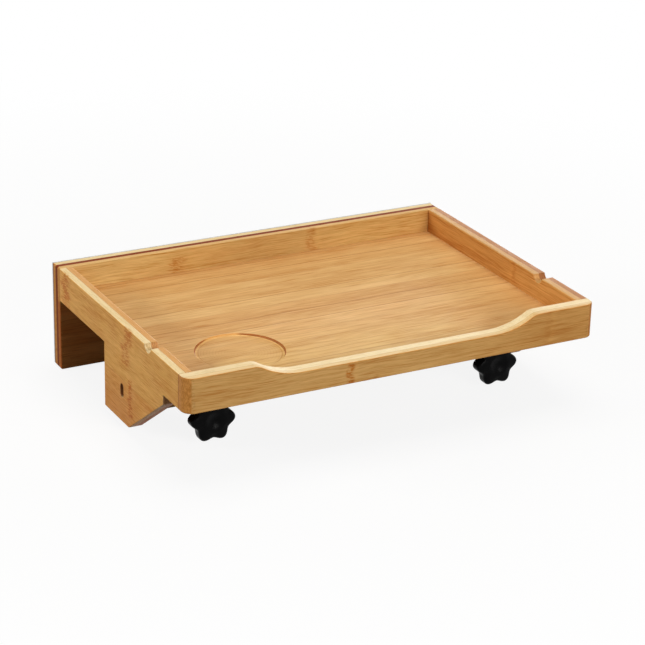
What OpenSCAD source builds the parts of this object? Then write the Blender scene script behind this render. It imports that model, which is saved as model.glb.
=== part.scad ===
// Clip-on bedside shelf: a bamboo tray that hangs on a bed rail, with a screw clamp under it.
// Millimetres. X runs across the tray, Y towards the bed, Z up. The origin is the corner that
// the rail fills: middle of the width, rail face of the back board, underside of the tray.

/* [Tray] */
// Overall width of the tray
tray_w = 400; // [340:5:460]
// Depth of the tray, from its front to the rail face of the back board
tray_d = 274; // [262:2:330]
// Height of the rim boards
rim_h = 32; // [28:1:45]
// Thickness of the side boards
side_t = 12.5; // [11:0.5:16]
// Thickness of the front board
front_t = 14; // [12:0.5:18]
// Radius of the front board's upright outer corners
corner_r = 9.5; // [4:0.5:12]
// Radius that eases the upper edges of the side boards
ease_r = 1.2; // [0.5:0.1:2]
// Thickness of the tray floor
floor_t = 9.5; // [8.5:0.5:12]
// Thickness of the tongue round the floor
tongue_t = 5; // [4:0.5:6]
// Reach of the tongue into the boards
tongue_l = 5; // [3:0.5:6]

/* [Front scoop] */
// Width of the scoop at the top of the front board
scoop_w = 278; // [180:2:300]
// Depth of the scoop
scoop_depth = 12.2; // [6:0.2:16]
// Length of the curve at each end of the scoop
scoop_run = 44; // [36:1:60]
// Radius of the crest where the scoop begins
scoop_crest_r = 14; // [10:1:30]
// Distance of the scoop's middle from the tray's middle, towards the right
scoop_off = 2; // [-4:0.5:4]

/* [Rim notches] */
// Distance from the rail face to the nearer end of each notch
notch_back = 190.5; // [180:0.5:196]
// Width of the notch along the rim
notch_w = 14; // [12:0.5:22]
// Depth of the notch
notch_depth = 5.8; // [4:0.2:7]

/* [Cup recess] */
// Diameter of the cup recess
recess_dia = 79; // [60:1:90]
// Depth of the cup recess
recess_depth = 2; // [1:0.5:4]
// Distance of the recess from the tray's left end
recess_inset = 89.5; // [66:0.5:110]
// Distance of the recess from the rail face
recess_back = 191.5; // [150:0.5:200]

/* [Back board] */
// Thickness of the back board
back_t = 16; // [14:0.5:20]
// Height of the back board
back_h = 100; // [95:1:130]
// Radius of the back board's lower corners
back_corner_r = 1.5; // [1:0.5:10]
// Thickness of the felt on its back
back_pad_t = 2.5; // [1:0.5:5]

/* [Brackets] */
// Depth of the brackets below the tray
bracket_drop = 61; // [58:1:66]
// Distance from the rail face to the brackets, which is the widest rail
bracket_back = 103; // [90:1:114]
// Length of the bracket's flat foot
bracket_foot = 53; // [50:1:60]
// Distance from the rail face to the bracket's front end
bracket_front = 229.5; // [215:0.5:240]
// Height of the upright step at the bracket's front end
bracket_step = 8.5; // [4:0.5:12]
// Radius at the front of the foot
foot_r = 7; // [2:1:10]

/* [Clamp bar] */
// Thickness of the clamp bar
bar_t = 20; // [18:1:24]
// Height of the clamp bar
bar_h = 41; // [40:1:46]
// Distance from the rail face to the middle of the bar
bar_back = 142; // [136:0.5:146]
// Depth of the bar's centre line below the tray
bar_drop = 31; // [30:0.5:33]

/* [Clamp screws] */
// Diameter of the screw thread
screw_dia = 8; // [6:1:8]
// Pitch of the screw thread
screw_pitch = 1.25; // [1:0.25:1.5]
// Distance of each screw from the nearer end of the tray
screw_inset = 57.2; // [52:0.2:80]
// Depth of the screws below the tray
screw_drop = 43; // [41:0.5:44]
// Length of the screw between knob and shoulder
screw_reach = 119; // [100:1:124]
// Diameter of the journal that turns in the jaw
journal_dia = 5; // [4:0.5:5.5]
// Free thread between knob and bar, as the clamp stands
knob_gap = 32.5; // [10:0.5:40]

/* [Thread inserts] */
// Outer diameter of the insert's barrel
insert_dia = 10; // [9.5:0.5:12]
// Length of the insert
insert_l = 16; // [12:1:17]
// Diameter of the insert's flange
flange_dia = 14; // [12.5:0.5:16]
// Thickness of the flange
flange_t = 1.5; // [1:0.1:2]

/* [Knobs] */
// Diameter over the lobes
knob_dia = 42; // [36:0.5:44]
// Depth of the hollows between the lobes
knob_hollow = 4.2; // [2:0.2:6]
// Number of lobes
knob_lobes = 6; // [5:1:8]
// Thickness of the lobes
lobe_t = 11; // [8:0.5:13]
// Height of the knob over its boss
knob_h = 24; // [18:0.5:30]
// Diameter of the boss
boss_dia = 17; // [14:0.5:20]
// Rise of the domed front
dome_h = 2; // [0.5:0.5:4]
// Length of the screw inside the knob
knob_socket = 16; // [10:0.5:17]

/* [Clamp jaw] */
// Room between each end of the jaw and the bracket beside it
jaw_side_gap = 27.5; // [20:0.5:28]
// Height of the jaw
jaw_h = 50; // [40:1:50]
// Thickness of the jaw
jaw_t = 15; // [14:0.5:18]
// Thickness of the felt on the jaw
jaw_pad_t = 3; // [1:0.5:5]
// Diameter of the nut pockets
pocket_dia = 15; // [14:0.5:18]
// Diameter of the thrust washers
thrust_dia = 16; // [13:0.5:20]
// Thickness of the thrust washers
thrust_t = 1.6; // [1:0.1:2]
// Diameter of the washers in the pockets
pocket_washer_dia = 13; // [11:0.5:13.5]
// Thickness of the washers in the pockets
pocket_washer_t = 1; // [0.5:0.1:1.5]
// Size of the lock nuts across flats
nut_flats = 8; // [7.5:0.5:9]
// Height of the lock nuts
nut_h = 4.7; // [4:0.1:5]

/* [Screws and dowels] */
// Diameter of the bar screws' heads, which fill the width of the brackets' slots
bar_head_dia = 6.5; // [6:0.5:7]
// Height of the bar screws' heads
bar_head_h = 3; // [2.5:0.5:4]
// Depth of the upright slots in the brackets, in which the heads sit
bar_sink = 6; // [5:0.5:7.5]
// Height of the slots
bar_slot_h = 13; // [10:0.5:15]
// Diameter of the bar screws' shanks
bar_shank_dia = 4; // [3:0.5:4.5]
// Length of the bar screws' shanks
bar_shank_l = 44; // [30:1:60]
// Size of the hexagon socket in their heads
bar_socket = 3; // [2.5:0.5:3.5]
// Diameter of the back board's screws
back_shank_dia = 3.5; // [3:0.5:4]
// Length of the back board's screws
back_screw_l = 45; // [35:1:60]
// Diameter of their countersunk heads
back_head_dia = 7.5; // [6:0.5:9]
// Diameter of the corner dowels
corner_dowel_dia = 6; // [5:0.5:7]
// Length of the corner dowels
corner_dowel_l = 28; // [20:1:32]
// Depth of the corner dowels in the front board
corner_dowel_in = 8; // [6:0.5:9]
// Diameter of the bar's dowels
bar_dowel_dia = 8; // [6:0.5:9]
// Length of the bar's dowels
bar_dowel_l = 30; // [22:1:40]
// Depth of the bar's dowels in the brackets
bar_dowel_in = 8; // [6:0.5:9]
// Distance of each bar dowel from the bar screw
bar_dowel_off = 13; // [12:0.5:14]

/* [Clearances] */
// Clearance round glued and driven pieces, on the radius
fit_gap = 0.02; // [0.01:0.01:0.05]
// Running clearance of screws and journals, on the radius
run_gap = 0.05; // [0.03:0.01:0.08]
// Room at the end of a tongue or a dowel
end_gap = 0.5; // [0.2:0.1:1]
// End play of the journals in the jaw
end_play = 0.2; // [0.1:0.1:0.5]

/* [Hidden] */

$fn = 64;
cut = 1;                                   // how far a cutter runs past the face it opens
arc_steps = 14;                            // segments of a curve in an outline

inner_w = tray_w - 2 * side_t;             // between the side boards
inner_d = tray_d - front_t;                // between front board and back board
side_x = tray_w / 2 - side_t / 2;          // centre plane of a side board
tongue_z = (floor_t - tongue_t) / 2;       // underside of the tongue
recess_x = tray_w / 2 - recess_inset;      // from the middle of the tray

scoop_turn = 2 * atan(scoop_depth / scoop_run);
scoop_tail_r = scoop_run / sin(scoop_turn) - scoop_crest_r;

bar_front_y = -bar_back - bar_t / 2;
bar_rear_y = -bar_back + bar_t / 2;
screw_x = tray_w / 2 - screw_inset;        // from the middle of the tray
jaw_l = inner_w - 2 * jaw_side_gap;        // length of the jaw

boss_y = bar_front_y - knob_gap;           // rear end of the knob's boss
lobe_y = boss_y - knob_h;                  // front of the lobes
shoulder_y = boss_y + screw_reach;         // where the journal begins
jaw_front_y = shoulder_y + thrust_t;
jaw_rear_y = jaw_front_y + jaw_t;
web_t = jaw_t / 2;                         // wood left in front of a nut pocket
pocket_floor_y = jaw_front_y + web_t;
nut_y = pocket_floor_y + pocket_washer_t + end_play;
tip_past_nut = 0.8;

corner_dowel_z = [0.42 * rim_h, 0.72 * rim_h];
back_side_screw_z = [0.3 * rim_h, 0.75 * rim_h];
back_floor_screws = 4;
head_cone_h = (back_head_dia - back_shank_dia) / 2;

wood = "burlywood";
wood_dark = "peru";
wood_pale = "wheat";
felt = "lightgrey";
steel = "silver";
black = "dimgray";

// ---- outlines ----

// Points of an arc about c, from angle a0 to a1
function arc(c, r, a0, a1) =
  [for (i = [0 : arc_steps]) let (a = a0 + (a1 - a0) * i / arc_steps) c + r * [cos(a), sin(a)]];

// Points that round the corner b between a and c with radius r
function rounded(a, b, c, r) =
  let (
    u = (a - b) / norm(a - b),
    v = (c - b) / norm(c - b),
    half = acos(u * v) / 2,
    centre = b + (u + v) / norm(u + v) * r / sin(half),
    p = b + u * r / tan(half) - centre,
    q = b + v * r / tan(half) - centre,
    start = atan2(p[1], p[0]),
    turn = atan2(p[0] * q[1] - p[1] * q[0], p * q)
  )
  arc(centre, r, start, start + turn);

// One end of the scoop, from its crest down to the low edge, going towards +X
function scoop_end(x) = concat(
  arc([x, rim_h - scoop_crest_r], scoop_crest_r, 90, 90 - scoop_turn),
  arc([x + scoop_run, rim_h - scoop_depth + scoop_tail_r], scoop_tail_r, 270 - scoop_turn, 270)
);

function mirrored(points) = [for (i = [len(points) - 1 : -1 : 0]) [-points[i][0], points[i][1]]];
function shifted(points, x) = [for (p = points) [p[0] + x, p[1]]];

// Front board seen from the front
module front_outline() {
  left_curve = scoop_end(-scoop_w / 2);
  polygon(concat(
    [[-tray_w / 2, 0], [-tray_w / 2, rim_h]],
    shifted(left_curve, scoop_off),
    shifted(mirrored(left_curve), scoop_off),
    [[tray_w / 2, rim_h], [tray_w / 2, 0]]
  ));
}

// Front board seen from above, with its rounded outer corners
module front_plan() {
  translate([-tray_w / 2, -tray_d + corner_r])
    square([tray_w, front_t - corner_r]);
  translate([-tray_w / 2 + corner_r, -tray_d])
    square([tray_w - 2 * corner_r, front_t]);
  for (side = [-1, 1])
    translate([side * (tray_w / 2 - corner_r), -tray_d + corner_r])
      circle(r = corner_r);
}

// Round notch in the top edge of a side board, seen from the side
module notch_outline() {
  notch_r = (pow(notch_w / 2, 2) + pow(notch_depth, 2)) / (2 * notch_depth);
  translate([-notch_back - notch_w / 2, rim_h - notch_depth + notch_r])
    circle(r = notch_r);
}

// Side board with its bracket, seen from the side
module side_outline() {
  foot_rear = [-bracket_back, -bracket_drop];
  foot_front = [-bracket_back - bracket_foot, -bracket_drop];
  step_low = [-bracket_front, -bracket_step];
  difference() {
    polygon(concat(
      [[0, rim_h], [0, 0], [-bracket_back, 0], foot_rear],
      rounded(foot_rear, foot_front, step_low, foot_r),
      [step_low, [-bracket_front, 0], [-inner_d, 0], [-inner_d, rim_h]]
    ));
    notch_outline();
  }
}

// ---- helpers ----

// Extrudes an outline drawn in Y and Z along X, centred on x
module across(x, width) {
  translate([x - width / 2, 0, 0])
    rotate([90, 0, 90])
      linear_extrude(width)
        children();
}

// Round rod along Y from y0 to y1
module rod_y(x, z, dia, y0, y1) {
  translate([x, y0, z])
    rotate([-90, 0, 0])
      cylinder(d = dia, h = y1 - y0);
}

// Round rod along X from x0 to x1
module rod_x(y, z, dia, x0, x1) {
  translate([x0, y, z])
    rotate([0, 90, 0])
      cylinder(d = dia, h = x1 - x0);
}

// Ring along Y, such as a washer
module ring_y(x, z, outer, inner, y0, y1) {
  difference() {
    rod_y(x, z, outer, y0, y1);
    rod_y(x, z, inner, y0 - cut, y1 + cut);
  }
}

// Space that the floor's tongue fills in the boards around it
module tongue_groove() {
  reach = tongue_l + end_gap;
  translate([-inner_w / 2 - reach, -inner_d - reach, tongue_z - fit_gap])
    cube([inner_w + 2 * reach, inner_d + 2 * reach, tongue_t + 2 * fit_gap]);
}

// Corner dowels, or their holes when grow is above 0
module corner_dowel_set(grow = 0, extra = 0) {
  for (side = [-1, 1], z = corner_dowel_z)
    rod_y(side * side_x, z, corner_dowel_dia + 2 * grow,
      -inner_d - corner_dowel_in - extra, -inner_d + corner_dowel_l - corner_dowel_in + extra);
}

// Dowels at the ends of the clamp bar, or their holes when grow is above 0
module bar_dowel_set(grow = 0, extra = 0) {
  for (side = [-1, 1], off = [-bar_dowel_off, bar_dowel_off])
    mirror([side > 0 ? 0 : 1, 0, 0])
      rod_x(-bar_back, -bar_drop + off, bar_dowel_dia + 2 * grow,
        inner_w / 2 + bar_dowel_in - bar_dowel_l - extra, inner_w / 2 + bar_dowel_in + extra);
}

// One bar screw at the +X end, or its hole when grow is above 0
module bar_screw(grow = 0) {
  seat_x = tray_w / 2 - bar_sink;
  rod_x(-bar_back, -bar_drop, bar_shank_dia + 2 * grow, seat_x - bar_shank_l - grow, seat_x + cut / 2);
  rod_x(-bar_back, -bar_drop, bar_head_dia + 2 * grow,
    seat_x, grow > 0 ? tray_w / 2 + cut : seat_x + bar_head_h);
}

// Slot for a bar screw's head, seen from the side
module bar_slot_outline() {
  width = bar_head_dia + 2 * fit_gap;
  reach = (bar_slot_h - width) / 2;
  translate([-bar_back - width / 2, -bar_drop - reach])
    square([width, 2 * reach]);
  for (end = [-1, 1])
    translate([-bar_back, -bar_drop + end * reach])
      circle(r = width / 2);
}

// One countersunk screw from the back face of the back board, or its hole when grow is above 0
module back_screw(x, z, grow = 0) {
  translate([x, back_t, z])
    rotate([90, 0, 0]) {
      cylinder(d = back_shank_dia + 2 * grow, h = back_screw_l + grow);
      cylinder(d1 = back_head_dia + 2 * grow, d2 = back_shank_dia + 2 * grow, h = head_cone_h);
    }
}

// Every back board screw: two into the end of each side board, the others into the floor
module back_screw_set(grow = 0) {
  for (side = [-1, 1], z = back_side_screw_z)
    back_screw(side * side_x, z, grow);
  for (i = [0 : back_floor_screws - 1])
    back_screw(inner_w * ((i + 0.5) / back_floor_screws - 0.5), floor_t / 2, grow);
}

// ---- tray ----

module tray_floor() {
  color(wood)
    difference() {
      union() {
        translate([-inner_w / 2, -inner_d, 0])
          cube([inner_w, inner_d, floor_t]);
        translate([-inner_w / 2 - tongue_l, -inner_d - tongue_l, tongue_z])
          cube([inner_w + 2 * tongue_l, inner_d + 2 * tongue_l, tongue_t]);
      }
      translate([-recess_x, -recess_back, floor_t - recess_depth])
        cylinder(d = recess_dia, h = recess_depth + cut, $fn = 96);
      back_screw_set(fit_gap);
    }
}

module front_board() {
  color(wood)
    difference() {
      intersection() {
        translate([0, -inner_d, 0])
          rotate([90, 0, 0])
            linear_extrude(front_t)
              front_outline();
        linear_extrude(rim_h)
          front_plan();
      }
      tongue_groove();
      corner_dowel_set(fit_gap, end_gap);
    }
}

// The +X side board; the other is its mirror image
module side_board() {
  difference() {
    intersection() {
      across(side_x, side_t)
        side_outline();
      // the section that eases the two upper edges
      translate([side_x, 0, 0])
        rotate([90, 0, 0])
          linear_extrude(inner_d)
            union() {
              translate([-side_t / 2, -bracket_drop])
                square([side_t, bracket_drop + rim_h - ease_r]);
              translate([-side_t / 2 + ease_r, -bracket_drop])
                square([side_t - 2 * ease_r, bracket_drop + rim_h]);
              for (edge = [-1, 1])
                translate([edge * (side_t / 2 - ease_r), rim_h - ease_r])
                  circle(r = ease_r);
            }
    }
    tongue_groove();
    corner_dowel_set(fit_gap, end_gap);
    back_screw_set(fit_gap);
    bar_screw(fit_gap);
    across(tray_w / 2 - bar_sink / 2 + cut / 2, bar_sink + cut)
      bar_slot_outline();
    bar_dowel_set(fit_gap, end_gap);
  }
}

module left_side_board() {
  color(wood_dark)
    mirror([1, 0, 0])
      side_board();
}

module right_side_board() {
  color(wood_dark)
    side_board();
}

module corner_dowels() {
  color(wood_pale)
    corner_dowel_set();
}

// ---- back board ----

module back_outline() {
  low_z = rim_h - back_h;
  translate([-tray_w / 2, low_z + back_corner_r])
    square([tray_w, back_h - back_corner_r]);
  translate([-tray_w / 2 + back_corner_r, low_z])
    square([tray_w - 2 * back_corner_r, back_corner_r]);
  for (side = [-1, 1])
    translate([side * (tray_w / 2 - back_corner_r), low_z + back_corner_r])
      circle(r = back_corner_r);
}

module back_board() {
  color(wood)
    difference() {
      translate([0, back_t, 0])
        rotate([90, 0, 0])
          linear_extrude(back_t)
            back_outline();
      tongue_groove();
      back_screw_set(fit_gap);
    }
}

module back_pad() {
  color(felt)
    translate([0, back_t + back_pad_t, 0])
      rotate([90, 0, 0])
        linear_extrude(back_pad_t)
          back_outline();
}

module back_board_screws() {
  color(steel)
    back_screw_set();
}

// ---- clamp bar ----

module clamp_bar() {
  color(wood)
    difference() {
      translate([-inner_w / 2, bar_front_y, -bar_drop - bar_h / 2])
        cube([inner_w, bar_t, bar_h]);
      for (side = [-1, 1]) {
        x = side * screw_x;
        rod_y(x, -screw_drop, screw_dia + 2 * end_gap, bar_front_y - cut, bar_rear_y + cut);
        rod_y(x, -screw_drop, insert_dia + 2 * fit_gap, bar_rear_y - insert_l - fit_gap, bar_rear_y + cut);
        rod_y(x, -screw_drop, flange_dia + 2 * fit_gap, bar_rear_y - flange_t, bar_rear_y + cut);
        mirror([side > 0 ? 0 : 1, 0, 0])
          bar_screw(fit_gap);
      }
      bar_dowel_set(fit_gap, end_gap);
    }
}

module thread_insert(side) {
  x = side * screw_x;
  color(steel)
    difference() {
      union() {
        rod_y(x, -screw_drop, insert_dia, bar_rear_y - insert_l, bar_rear_y);
        rod_y(x, -screw_drop, flange_dia, bar_rear_y - flange_t, bar_rear_y);
      }
      rod_y(x, -screw_drop, screw_dia + 2 * run_gap, bar_front_y, bar_rear_y + cut);
    }
}

module left_thread_insert() {
  thread_insert(-1);
}

module right_thread_insert() {
  thread_insert(1);
}

module bar_screws() {
  color(steel)
    for (side = [0, 1])
      mirror([side, 0, 0])
        difference() {
          bar_screw();
          translate([tray_w / 2 - bar_sink + bar_head_h / 3, -bar_back, -bar_drop])
            rotate([0, 90, 0])
              cylinder(d = bar_socket / cos(30), h = bar_head_h, $fn = 6);
        }
}

module bar_dowels() {
  color(wood_pale)
    bar_dowel_set();
}

// ---- clamp jaw ----

module jaw_block(y, thickness) {
  translate([-jaw_l / 2, y, -screw_drop - jaw_h / 2])
    cube([jaw_l, thickness, jaw_h]);
}

module clamp_jaw() {
  color(wood)
    difference() {
      jaw_block(jaw_front_y, jaw_t);
      for (side = [-1, 1]) {
        x = side * screw_x;
        rod_y(x, -screw_drop, journal_dia + 2 * run_gap, jaw_front_y - cut, jaw_rear_y);
        rod_y(x, -screw_drop, pocket_dia, pocket_floor_y, jaw_rear_y + cut);
      }
    }
}

module jaw_pad() {
  color(felt)
    jaw_block(jaw_rear_y, jaw_pad_t);
}

module thrust_washer(side) {
  color(steel)
    ring_y(side * screw_x, -screw_drop, thrust_dia, journal_dia + 2 * run_gap, shoulder_y, jaw_front_y);
}

module left_thrust_washer() {
  thrust_washer(-1);
}

module right_thrust_washer() {
  thrust_washer(1);
}

module pocket_washer(side) {
  color(steel)
    ring_y(side * screw_x, -screw_drop, pocket_washer_dia, journal_dia + 2 * run_gap,
      pocket_floor_y, pocket_floor_y + pocket_washer_t);
}

module left_pocket_washer() {
  pocket_washer(-1);
}

module right_pocket_washer() {
  pocket_washer(1);
}

// ---- clamp screws and knobs ----

module clamp_screw(side) {
  x = side * screw_x;
  color(steel)
    union() {
      rod_y(x, -screw_drop, screw_dia, boss_y - knob_socket, shoulder_y);
      rod_y(x, -screw_drop, journal_dia, shoulder_y - cut, nut_y + nut_h + tip_past_nut);
    }
}

module left_clamp_screw() {
  clamp_screw(-1);
}

module right_clamp_screw() {
  clamp_screw(1);
}

module lock_nut(side) {
  color(steel)
    translate([side * screw_x, nut_y, -screw_drop])
      rotate([-90, 0, 0])
        difference() {
          cylinder(d = nut_flats / cos(30), h = nut_h, $fn = 6);
          translate([0, 0, -cut])
            cylinder(d = journal_dia + 2 * fit_gap, h = nut_h + 2 * cut);
        }
}

module left_lock_nut() {
  lock_nut(-1);
}

module right_lock_nut() {
  lock_nut(1);
}

// Radius of the knob's outline at angle a, a wave with one crest for each lobe
function lobe_radius(a) = knob_dia / 2 - knob_hollow / 2 * (1 - cos(knob_lobes * a));

// Half section of the knob's lathed body, x along the radius and y from the front towards the boss
module knob_section() {
  dome_r = (pow(knob_dia / 2, 2) + pow(dome_h, 2)) / (2 * dome_h);
  dome_turn = asin(knob_dia / 2 / dome_r);
  polygon(concat(
    arc([0, dome_r - dome_h], dome_r, 270, 270 + dome_turn),
    [[knob_dia / 2, lobe_t], [0, lobe_t]]
  ));
}

module knob(side) {
  outline_steps = 16 * knob_lobes;
  color(black)
    translate([side * screw_x, lobe_y, -screw_drop])
      rotate([-90, 0, 0])
        difference() {
          union() {
            intersection() {
              rotate_extrude($fn = 96)
                knob_section();
              translate([0, 0, -dome_h])
                linear_extrude(lobe_t + dome_h)
                  polygon([for (i = [0 : outline_steps - 1])
                    let (a = 360 * i / outline_steps) lobe_radius(a) * [cos(a), sin(a)]]);
            }
            cylinder(d = boss_dia, h = knob_h);
          }
          translate([0, 0, knob_h - knob_socket - end_gap])
            cylinder(d = screw_dia + 2 * fit_gap, h = knob_socket + end_gap + cut);
        }
}

module left_knob() {
  knob(-1);
}

module right_knob() {
  knob(1);
}

tray_floor();
front_board();
left_side_board();
right_side_board();
back_board();
back_pad();
clamp_bar();
left_thread_insert();
right_thread_insert();
bar_screws();
bar_dowels();
corner_dowels();
back_board_screws();
clamp_jaw();
jaw_pad();
left_thrust_washer();
right_thrust_washer();
left_pocket_washer();
right_pocket_washer();
left_clamp_screw();
right_clamp_screw();
left_lock_nut();
right_lock_nut();
left_knob();
right_knob();
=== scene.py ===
import math

import bmesh
import bpy
import numpy as np
from mathutils import Matrix, Vector


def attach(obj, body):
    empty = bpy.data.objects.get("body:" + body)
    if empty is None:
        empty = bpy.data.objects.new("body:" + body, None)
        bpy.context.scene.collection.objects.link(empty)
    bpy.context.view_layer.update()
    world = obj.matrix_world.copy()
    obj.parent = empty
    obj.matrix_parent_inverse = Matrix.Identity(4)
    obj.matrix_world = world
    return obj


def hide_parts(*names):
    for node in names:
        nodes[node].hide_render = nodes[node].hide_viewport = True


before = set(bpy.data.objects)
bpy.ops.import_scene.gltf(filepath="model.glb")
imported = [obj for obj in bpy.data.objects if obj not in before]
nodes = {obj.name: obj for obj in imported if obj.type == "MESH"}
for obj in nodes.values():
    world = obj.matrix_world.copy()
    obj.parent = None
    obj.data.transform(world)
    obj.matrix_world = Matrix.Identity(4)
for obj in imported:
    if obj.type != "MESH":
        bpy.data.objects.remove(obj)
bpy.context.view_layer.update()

scene = bpy.context.scene
scene.view_settings.view_transform = "Standard"


def mm(*values):
    """Millimetres to metres, as one number or as a vector."""
    return values[0] / 1000 if len(values) == 1 else Vector(values) / 1000


def srgb(r, g, b):
    """An 8-bit display colour as the linear colour that a socket takes."""
    def linear(c):
        c /= 255
        return c / 12.92 if c <= 0.04045 else ((c + 0.055) / 1.055) ** 2.4
    return (linear(r), linear(g), linear(b), 1.0)


# ---- sizes that the looks share with the construction, in millimetres ----

TRAY_W, TRAY_D, RIM_H, FLOOR_T = 400, 274, 32, 9.5
SIDE_T, FRONT_T, BACK_T = 12.5, 14, 16
HALF_W = TRAY_W / 2
INNER_X = HALF_W - SIDE_T
INNER_Y = FRONT_T - TRAY_D
LOW_Z = -68  # lower edge of the tall board and of the jaw
BRACKET_FRONT_Y, BRACKET_BACK_Y = -229.5, -103
BAR_Y, BAR_Z = -142, -31  # middle of the clamp bar, and of the slots in the brackets
RECESS_X, RECESS_Y, RECESS_R = -110.5, -191.5, 39.5
SCREW_X, SCREW_Z, PITCH = 142.8, -43, 1.25
LOBE_Y, BOSS_Y, SHOULDER_Y = -208.5, -184.5, -65.5
INSERT_FRONT_Y, INSERT_REAR_Y = -148, -132
JAW_HALF_W, JAW_TOP_Z, JAW_REAR_Y = 160, -18, -48.9


# ---- node trees ----

class Graph:
    """Adds shader nodes to a tree. An argument is a plain value or another node's output."""

    def __init__(self, tree):
        self.tree = tree

    def add(self, kind, **settings):
        node = self.tree.nodes.new(kind)
        for name, value in settings.items():
            setattr(node, name, value)
        return node

    def put(self, socket, value):
        if isinstance(value, bpy.types.NodeSocket):
            self.tree.links.new(value, socket)
        elif value is not None:
            socket.default_value = value

    def feed(self, node, *values):
        """Puts the values on the node's sockets in order, and gives its first output."""
        for socket, value in zip(node.inputs, values):
            self.put(socket, value)
        return node.outputs[0]

    def math(self, operation, *values, clamp=False):
        return self.feed(self.add("ShaderNodeMath", operation=operation, use_clamp=clamp), *values)

    def plus(self, first, *others):
        for value in others:
            first = self.math("ADD", first, value)
        return first

    def times(self, first, *others):
        for value in others:
            first = self.math("MULTIPLY", first, value)
        return first

    def minus(self, first, second):
        return self.math("SUBTRACT", first, second)

    def absolute(self, value):
        return self.math("ABSOLUTE", value)

    def about(self, value, centre, gain):
        """(value - centre) * gain"""
        return self.math("MULTIPLY_ADD", value, gain, -centre * gain)

    def clamp(self, value):
        return self.math("ADD", value, 0.0, clamp=True)

    def scaled(self, vector, factor):
        node = self.add("ShaderNodeVectorMath", operation="SCALE")
        self.put(node.inputs[0], vector)
        self.put(node.inputs["Scale"], factor)
        return node.outputs["Vector"]

    def join(self, x, y, z):
        return self.feed(self.add("ShaderNodeCombineXYZ"), x, y, z)

    def split(self, vector):
        node = self.add("ShaderNodeSeparateXYZ")
        self.put(node.inputs[0], vector)
        return list(node.outputs)

    def stretched(self, parts, factors, shift=0.0):
        """Three parts as a vector, each times its factor, and the middle one moved by shift."""
        x, y, z = (self.times(part, factor) for part, factor in zip(parts, factors))
        return self.join(x, self.plus(y, shift) if shift else y, z)

    def noise(self, vector, detail=2.0, rough=0.5, scale=1.0):
        node = self.add("ShaderNodeTexNoise", noise_dimensions="3D")
        self.put(node.inputs["Vector"], vector)
        node.inputs["Scale"].default_value = scale
        node.inputs["Detail"].default_value = detail
        node.inputs["Roughness"].default_value = rough
        return node.outputs[0]

    def random(self, vector):
        """Three random numbers from 0 to 1 for each whole-number place."""
        node = self.add("ShaderNodeTexWhiteNoise", noise_dimensions="3D")
        self.put(node.inputs["Vector"], vector)
        return self.split(node.outputs["Color"])

    def ease(self, value, low, high, start=0.0, end=1.0):
        """Smoothly from start to end as value goes from low to high. low may be the larger."""
        node = self.add("ShaderNodeMapRange", interpolation_type="SMOOTHSTEP")
        if low > high:
            low, high, start, end = high, low, end, start
        return self.feed(node, value, low, high, start, end)

    def band(self, value, centre, outer, inner):
        """1 where value lies within inner of centre, and 0 from outer on."""
        return self.ease(self.absolute(self.about(value, centre, 1.0)), outer, inner)

    def mix(self, share, first, second, blend="MIX"):
        node = self.add("ShaderNodeMix", data_type="RGBA", blend_type=blend, clamp_factor=True)
        self.put(node.inputs[0], share)
        self.put(node.inputs[6], first)
        self.put(node.inputs[7], second)
        return node.outputs[2]

    def tint(self, share, colour, factor):
        """The colour times factor (red, green, blue), as far as share goes."""
        return self.mix(share, colour, (*factor, 1.0), "MULTIPLY")

    def ramp(self, value, *stops):
        node = self.add("ShaderNodeValToRGB")
        elements = node.color_ramp.elements
        while len(elements) < len(stops):
            elements.new(0.5)
        for element, (place, colour) in zip(elements, stops):
            element.position = place
            element.color = (*colour[:3], 1.0)
        self.put(node.inputs[0], value)
        return node.outputs["Color"]

    def bump(self, height, strength, distance, normal=None):
        node = self.add("ShaderNodeBump")
        node.inputs["Strength"].default_value = strength
        node.inputs["Distance"].default_value = distance
        self.put(node.inputs["Height"], height)
        self.put(node.inputs["Normal"], normal)
        return node.outputs[0]

    def blend(self, share, first, second):
        """The second shader over the first, as far as share goes."""
        return self.feed(self.add("ShaderNodeMixShader"), share, first, second)


def new_material(name, **constants):
    """A material with a Principled shader whose constants are set on its own sockets."""
    material = bpy.data.materials.new(name)
    material.use_nodes = True
    shader = material.node_tree.nodes["Principled BSDF"]
    for socket, value in constants.items():
        shader.inputs[socket.replace("_", " ")].default_value = value
    return material, Graph(material.node_tree), shader


# ---- bamboo ----

NODE_SPACING = 236.0  # mm between two nodes of a cane
AXIS = {"x": 0, "y": 1, "z": 2}


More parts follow.
